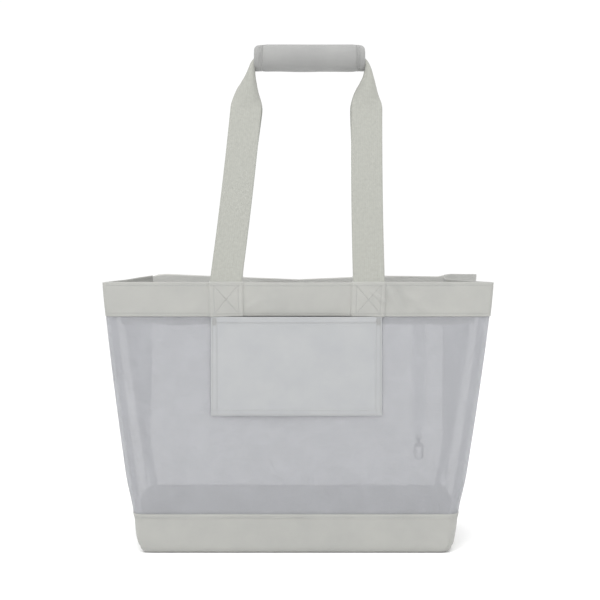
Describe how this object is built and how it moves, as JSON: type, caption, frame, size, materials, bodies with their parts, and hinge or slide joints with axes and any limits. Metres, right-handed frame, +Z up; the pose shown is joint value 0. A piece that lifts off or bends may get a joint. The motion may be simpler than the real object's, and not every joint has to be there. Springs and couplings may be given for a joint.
{
  "type": "beach bag",
  "caption": "Mesh tote with opaque rim band and base boot, inward-folded side gussets, front patch pocket, two webbing straps joined by a padded grip wrap, and an inner key leash.",
  "frame": {"origin": "centre of the base's underside, on the surface the bag stands on", "axes": "+Z up, +Y towards the back, so the pocket faces -Y; +X to the right as the pocket is seen"},
  "size_m": [0.48, 0.164, 0.636],
  "materials": {
    "net": "fine knitted polyester mesh, see-through",
    "cloth": "plain-weave 600D polyester, matt",
    "pocket_cloth": "plain-weave 600D polyester, matt, slightly cooler than the bands",
    "lining": "light plain-weave polyester",
    "binding_tape": "woven binding tape",
    "webbing": "woven polyester webbing, matt",
    "foam": "closed-cell foam",
    "hook_and_loop": "hook-and-loop tape",
    "board": "stiff plastic sheet",
    "nickel": "nickel-plated zinc"
  },
  "bodies": {
    "bag": {"front_mesh_panel": "net", "back_mesh_panel": "net", "left_mesh_gusset": "net", "right_mesh_gusset": "net", "front_top_band": "cloth", "back_top_band": "cloth", "left_top_band": "cloth", "right_top_band": "cloth", "base_boot": "cloth", "base_board": "board", "base_lining": "lining", "front_left_seam_binding": "binding_tape", "front_right_seam_binding": "binding_tape", "back_left_seam_binding": "binding_tape", "back_right_seam_binding": "binding_tape", "front_pocket": "pocket_cloth", "front_strap_left_end": "webbing", "front_strap_right_end": "webbing", "back_strap_left_end": "webbing", "back_strap_right_end": "webbing"},
    "handles": {"front_strap": "webbing", "back_strap": "webbing", "grip_back_cover": "cloth", "grip_back_foam": "foam", "grip_hook_strip": "hook_and_loop"},
    "grip_flap": {"grip_flap_cover": "cloth", "grip_flap_foam": "foam", "grip_loop_strip": "hook_and_loop"},
    "leash": {"leash_tape": "binding_tape", "swivel_eye": "nickel"},
    "snap_hook": {"hook_body": "nickel", "swivel_rivet": "nickel", "gate_pin": "nickel"},
    "hook_gate": {"hook_gate": "nickel"}
  },
  "joints": [
    {"name": "handle_tip", "type": "hinge", "parent": "bag", "child": "handles", "pos_m": [0, 0.0735, 0.338], "axis": [1, 0, 0], "range_deg": [0, 70], "deforming": ["front_strap"]},
    {"name": "grip_flap_open", "type": "hinge", "parent": "handles", "child": "grip_flap", "pos_m": [0.014, 0, 0.636], "axis": [-1, 0, 0], "range_deg": [0, 110]},
    {"name": "leash_swing", "type": "hinge", "parent": "bag", "child": "leash", "pos_m": [0.15, -0.0688, 0.294], "axis": [1, 0, 0], "range_deg": [0, 45]},
    {"name": "hook_swivel", "type": "hinge", "parent": "leash", "child": "snap_hook", "pos_m": [0.15, -0.0688, 0.138], "axis": [0, 0, 1], "continuous": true},
    {"name": "gate_open", "type": "hinge", "parent": "snap_hook", "child": "hook_gate", "pos_m": [0.15485, -0.0688, 0.1334], "axis": [0, 1, 0], "range_deg": [0, 25], "stiffness_Nm_per_rad": 0.01, "springref_deg": -8.59}
  ]
}
